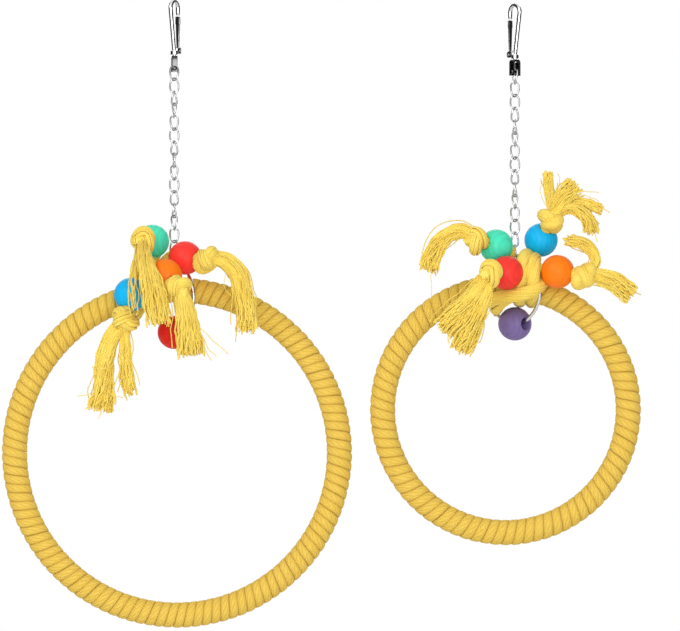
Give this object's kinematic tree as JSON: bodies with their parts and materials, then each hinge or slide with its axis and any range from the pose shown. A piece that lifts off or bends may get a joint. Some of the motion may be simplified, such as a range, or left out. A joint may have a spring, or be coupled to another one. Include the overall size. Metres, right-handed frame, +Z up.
{
  "type": "double ring bird swing",
  "caption": "Pair of hanging bird swings: rope-wound rings on twisted-link chains with swivel snap hooks, hinged book rings, coloured wooden beads and knotted tasselled cords.",
  "frame": {"origin": "inside of the large hook's crown, the point that rests on the bar it hangs from", "axes": "+Z up along the chains, +X from the large swing to the small one, -Y towards the viewer of the picture"},
  "size_m": [0.4196, 0.0782, 0.4131],
  "materials": {
    "yellow_cotton": "soft twisted cotton yarn",
    "plated_steel": "bright nickel plate",
    "link_wire": "bright galvanised wire",
    "core_steel": "plain drawn steel",
    "green_wood": "dyed satin",
    "red_wood": "dyed satin",
    "orange_wood": "dyed satin",
    "blue_wood": "dyed satin",
    "deep_red_wood": "dyed satin",
    "purple_wood": "dyed satin"
  },
  "bodies": {
    "hooks": {"large_hook_body": "plated_steel", "small_hook_body": "plated_steel"},
    "large_gate": {"large_hook_gate": "plated_steel"},
    "large_stirrup": {"large_swivel_stirrup": "plated_steel"},
    "large_link_01": {"large_chain_link_01": "link_wire"},
    "large_link_02": {"large_chain_link_02": "link_wire"},
    "large_link_03": {"large_chain_link_03": "link_wire"},
    "large_link_04": {"large_chain_link_04": "link_wire"},
    "large_link_05": {"large_chain_link_05": "link_wire"},
    "large_link_06": {"large_chain_link_06": "link_wire"},
    "large_link_07": {"large_chain_link_07": "link_wire"},
    "large_link_08": {"large_chain_link_08": "link_wire"},
    "large_link_09": {"large_chain_link_09": "link_wire"},
    "large_link_10": {"large_chain_link_10": "link_wire"},
    "large_link_11": {"large_chain_link_11": "link_wire"},
    "large_link_12": {"large_chain_link_12": "link_wire"},
    "large_link_13": {"large_chain_link_13": "link_wire"},
    "large_link_14": {"large_chain_link_14": "link_wire"},
    "large_link_15": {"large_chain_link_15": "link_wire"},
    "large_link_16": {"large_chain_link_16": "link_wire"},
    "large_ring": {"large_ring_core": "core_steel", "large_ring_wrap": "yellow_cotton", "large_cord_a": "yellow_cotton", "large_cord_b": "yellow_cotton", "large_book_ring_upper": "plated_steel"},
    "large_book_ring_lower": {"large_book_ring_lower": "plated_steel"},
    "large_bead_green": {"large_bead_green": "green_wood"},
    "large_bead_red": {"large_bead_red": "red_wood"},
    "large_bead_orange": {"large_bead_orange": "orange_wood"},
    "large_bead_blue": {"large_bead_blue": "blue_wood"},
    "large_bead_lower": {"large_bead_lower": "deep_red_wood"},
    "small_gate": {"small_hook_gate": "plated_steel"},
    "small_stirrup": {"small_swivel_stirrup": "plated_steel"},
    "small_link_01": {"small_chain_link_01": "link_wire"},
    "small_link_02": {"small_chain_link_02": "link_wire"},
    "small_link_03": {"small_chain_link_03": "link_wire"},
    "small_link_04": {"small_chain_link_04": "link_wire"},
    "small_link_05": {"small_chain_link_05": "link_wire"},
    "small_link_06": {"small_chain_link_06": "link_wire"},
    "small_link_07": {"small_chain_link_07": "link_wire"},
    "small_link_08": {"small_chain_link_08": "link_wire"},
    "small_link_09": {"small_chain_link_09": "link_wire"},
    "small_link_10": {"small_chain_link_10": "link_wire"},
    "small_link_11": {"small_chain_link_11": "link_wire"},
    "small_link_12": {"small_chain_link_12": "link_wire"},
    "small_link_13": {"small_chain_link_13": "link_wire"},
    "small_link_14": {"small_chain_link_14": "link_wire"},
    "small_link_15": {"small_chain_link_15": "link_wire"},
    "small_ring": {"small_ring_core": "core_steel", "small_ring_wrap": "yellow_cotton", "small_cord_a": "yellow_cotton", "small_cord_b": "yellow_cotton", "small_book_ring_upper": "plated_steel"},
    "small_book_ring_lower": {"small_book_ring_lower": "plated_steel"},
    "small_bead_green": {"small_bead_green": "green_wood"},
    "small_bead_red": {"small_bead_red": "red_wood"},
    "small_bead_blue": {"small_bead_blue": "blue_wood"},
    "small_bead_orange": {"small_bead_orange": "orange_wood"},
    "small_bead_lower": {"small_bead_lower": "purple_wood"}
  },
  "joints": [
    {"name": "large_gate_pivot", "type": "hinge", "parent": "hooks", "child": "large_gate", "pos_m": [0.00225, 0.00424, -0.031], "axis": [0.8829, -0.4695, 0], "range_deg": [0, 17], "stiffness_Nm_per_rad": 0.02, "springref_deg": -17.19},
    {"name": "large_swivel", "type": "hinge", "parent": "hooks", "child": "large_stirrup", "pos_m": [0, 0, -0.034], "axis": [0, 0, 1], "continuous": true},
    {"name": "large_link_01_swing", "type": "hinge", "parent": "large_stirrup", "child": "large_link_01", "pos_m": [0, 0, -0.0428], "axis": [1, 0, 0], "range_deg": [-20, 20]},
    {"name": "large_link_02_swing", "type": "hinge", "parent": "large_link_01", "child": "large_link_02", "pos_m": [0, 0, -0.04985], "axis": [-1, 0, 0], "range_deg": [-25, 25]},
    {"name": "large_link_03_swing", "type": "hinge", "parent": "large_link_02", "child": "large_link_03", "pos_m": [0, 0, -0.0588], "axis": [1, 0, 0], "range_deg": [-25, 25]},
    {"name": "large_link_04_swing", "type": "hinge", "parent": "large_link_03", "child": "large_link_04", "pos_m": [0, 0, -0.06641], "axis": [-1, 0, 0], "range_deg": [-25, 25]},
    {"name": "large_link_05_swing", "type": "hinge", "parent": "large_link_04", "child": "large_link_05", "pos_m": [0, 0, -0.07374], "axis": [1, 0, 0], "range_deg": [-25, 25]},
    {"name": "large_link_06_swing", "type": "hinge", "parent": "large_link_05", "child": "large_link_06", "pos_m": [0, 0, -0.08235], "axis": [-1, 0, 0], "range_deg": [-25, 25]},
    {"name": "large_link_07_swing", "type": "hinge", "parent": "large_link_06", "child": "large_link_07", "pos_m": [0, 0, -0.0915], "axis": [1, 0, 0], "range_deg": [-25, 25]},
    {"name": "large_link_08_swing", "type": "hinge", "parent": "large_link_07", "child": "large_link_08", "pos_m": [0, 0, -0.09949], "axis": [-1, 0, 0], "range_deg": [-25, 25]},
    {"name": "large_link_09_swing", "type": "hinge", "parent": "large_link_08", "child": "large_link_09", "pos_m": [0, 0, -0.10669], "axis": [1, 0, 0], "range_deg": [-25, 25]},
    {"name": "large_link_10_swing", "type": "hinge", "parent": "large_link_09", "child": "large_link_10", "pos_m": [0, 0, -0.11489], "axis": [-1, 0, 0], "range_deg": [-25, 25]},
    {"name": "large_link_11_swing", "type": "hinge", "parent": "large_link_10", "child": "large_link_11", "pos_m": [0, 0, -0.12409], "axis": [1, 0, 0], "range_deg": [-25, 25]},
    {"name": "large_link_12_swing", "type": "hinge", "parent": "large_link_11", "child": "large_link_12", "pos_m": [0, 0, -0.1325], "axis": [-1, 0, 0], "range_deg": [-25, 25]},
    {"name": "large_link_13_swing", "type": "hinge", "parent": "large_link_12", "child": "large_link_13", "pos_m": [0, 0, -0.13975], "axis": [1, 0, 0], "range_deg": [-25, 25]},
    {"name": "large_link_14_swing", "type": "hinge", "parent": "large_link_13", "child": "large_link_14", "pos_m": [0, 0, -0.14754], "axis": [-1, 0, 0], "range_deg": [-25, 25]},
    {"name": "large_link_15_swing", "type": "hinge", "parent": "large_link_14", "child": "large_link_15", "pos_m": [0, 0, -0.15661], "axis": [1, 0, 0], "range_deg": [-25, 25]},
    {"name": "large_link_16_swing", "type": "hinge", "parent": "large_link_15", "child": "large_link_16", "pos_m": [0, 0, -0.1654], "axis": [-1, 0, 0], "range_deg": [-25, 25]},
    {"name": "large_ring_swing", "type": "hinge", "parent": "large_link_16", "child": "large_ring", "pos_m": [0, 0, -0.17112], "axis": [1, 0, 0], "range_deg": [-15, 15]},
    {"name": "large_book_ring_hinge", "type": "hinge", "parent": "large_ring", "child": "large_book_ring_lower", "pos_m": [-0.00967, 0.01331, -0.20897], "axis": [0.809, 0.5878, 0], "range_deg": [0, 30]},
    {"name": "large_bead_green_spin", "type": "hinge", "parent": "large_ring", "child": "large_bead_green", "pos_m": [-0.014, -0.007, -0.15652], "axis": [-0.3101, -0.9502, 0.03], "continuous": true},
    {"name": "large_bead_red_spin", "type": "hinge", "parent": "large_ring", "child": "large_bead_red", "pos_m": [0.0078, -0.0201, -0.16752], "axis": [0.8022, -0.5916, -0.0802], "continuous": true},
    {"name": "large_bead_orange_spin", "type": "hinge", "parent": "large_ring", "child": "large_bead_orange", "pos_m": [-0.0045, -0.0347, -0.17922], "axis": [0.4509, -0.7816, -0.4309], "continuous": true},
    {"name": "large_bead_blue_spin", "type": "hinge", "parent": "large_ring", "child": "large_bead_blue", "pos_m": [-0.0275, -0.0224, -0.19152], "axis": [-0.2009, -0.3517, -0.9143], "continuous": true},
    {"name": "large_bead_lower_spin", "type": "hinge", "parent": "large_book_ring_lower", "child": "large_bead_lower", "pos_m": [0, 0, -0.21615], "axis": [0.5878, -0.809, 0], "continuous": true},
    {"name": "small_gate_pivot", "type": "hinge", "parent": "hooks", "child": "small_gate", "pos_m": [0.22085, 0.00378, -0.0336], "axis": [0.788, 0.6157, 0], "range_deg": [0, 17], "stiffness_Nm_per_rad": 0.02, "springref_deg": -17.19},
    {"name": "small_swivel", "type": "hinge", "parent": "hooks", "child": "small_stirrup", "pos_m": [0.2238, 0, -0.0366], "axis": [0, 0, 1], "continuous": true},
    {"name": "small_link_01_swing", "type": "hinge", "parent": "small_stirrup", "child": "small_link_01", "pos_m": [0.2238, 0, -0.0454], "axis": [1, 0, 0], "range_deg": [-20, 20]},
    {"name": "small_link_02_swing", "type": "hinge", "parent": "small_link_01", "child": "small_link_02", "pos_m": [0.2238, 0, -0.0517], "axis": [-1, 0, 0], "range_deg": [-25, 25]},
    {"name": "small_link_03_swing", "type": "hinge", "parent": "small_link_02", "child": "small_link_03", "pos_m": [0.2238, 0, -0.0602], "axis": [1, 0, 0], "range_deg": [-25, 25]},
    {"name": "small_link_04_swing", "type": "hinge", "parent": "small_link_03", "child": "small_link_04", "pos_m": [0.2238, 0, -0.06944], "axis": [-1, 0, 0], "range_deg": [-25, 25]},
    {"name": "small_link_05_swing", "type": "hinge", "parent": "small_link_04", "child": "small_link_05", "pos_m": [0.2238, 0, -0.07767], "axis": [1, 0, 0], "range_deg": [-25, 25]},
    {"name": "small_link_06_swing", "type": "hinge", "parent": "small_link_05", "child": "small_link_06", "pos_m": [0.2238, 0, -0.0848], "axis": [-1, 0, 0], "range_deg": [-25, 25]},
    {"name": "small_link_07_swing", "type": "hinge", "parent": "small_link_06", "child": "small_link_07", "pos_m": [0.2238, 0, -0.0927], "axis": [1, 0, 0], "range_deg": [-25, 25]},
    {"name": "small_link_08_swing", "type": "hinge", "parent": "small_link_07", "child": "small_link_08", "pos_m": [0.2238, 0, -0.1012], "axis": [-1, 0, 0], "range_deg": [-25, 25]},
    {"name": "small_link_09_swing", "type": "hinge", "parent": "small_link_08", "child": "small_link_09", "pos_m": [0.2238, 0, -0.11044], "axis": [1, 0, 0], "range_deg": [-25, 25]},
    {"name": "small_link_10_swing", "type": "hinge", "parent": "small_link_09", "child": "small_link_10", "pos_m": [0.2238, 0, -0.11867], "axis": [-1, 0, 0], "range_deg": [-25, 25]},
    {"name": "small_link_11_swing", "type": "hinge", "parent": "small_link_10", "child": "small_link_11", "pos_m": [0.2238, 0, -0.1258], "axis": [1, 0, 0], "range_deg": [-25, 25]},
    {"name": "small_link_12_swing", "type": "hinge", "parent": "small_link_11", "child": "small_link_12", "pos_m": [0.2238, 0, -0.1337], "axis": [-1, 0, 0], "range_deg": [-25, 25]},
    {"name": "small_link_13_swing", "type": "hinge", "parent": "small_link_12", "child": "small_link_13", "pos_m": [0.2238, 0, -0.1422], "axis": [1, 0, 0], "range_deg": [-25, 25]},
    {"name": "small_link_14_swing", "type": "hinge", "parent": "small_link_13", "child": "small_link_14", "pos_m": [0.2238, 0, -0.15144], "axis": [-1, 0, 0], "range_deg": [-25, 25]},
    {"name": "small_link_15_swing", "type": "hinge", "parent": "small_link_14", "child": "small_link_15", "pos_m": [0.2238, 0, -0.15967], "axis": [1, 0, 0], "range_deg": [-25, 25]},
    {"name": "small_ring_swing", "type": "hinge", "parent": "small_link_15", "child": "small_ring", "pos_m": [0.2238, 0, -0.16552], "axis": [-1, 0, 0], "range_deg": [-15, 15]},
    {"name": "small_book_ring_hinge", "type": "hinge", "parent": "small_ring", "child": "small_book_ring_lower", "pos_m": [0.21216, 0.01164, -0.20337], "axis": [0.7071, 0.7071, 0], "range_deg": [0, 30]},
    {"name": "small_bead_green_spin", "type": "hinge", "parent": "small_ring", "child": "small_bead_green", "pos_m": [0.211, -0.015, -0.15972], "axis": [-0.755, -0.6241, 0.2013], "continuous": true},
    {"name": "small_bead_red_spin", "type": "hinge", "parent": "small_ring", "child": "small_bead_red", "pos_m": [0.2172, -0.0275, -0.17732], "axis": [-0.6, -0.8, 0], "continuous": true},
    {"name": "small_bead_blue_spin", "type": "hinge", "parent": "small_ring", "child": "small_bead_blue", "pos_m": [0.2409, -0.002, -0.15552], "axis": [0.341, -0.6018, 0.7222], "continuous": true},
    {"name": "small_bead_orange_spin", "type": "hinge", "parent": "small_ring", "child": "small_bead_orange", "pos_m": [0.2507, -0.022, -0.17652], "axis": [0.9646, -0.201, -0.1708], "continuous": true},
    {"name": "small_bead_lower_spin", "type": "hinge", "parent": "small_book_ring_lower", "child": "small_bead_lower", "pos_m": [0.2238, 0, -0.21055], "axis": [0.7071, -0.7071, 0], "continuous": true}
  ]
}
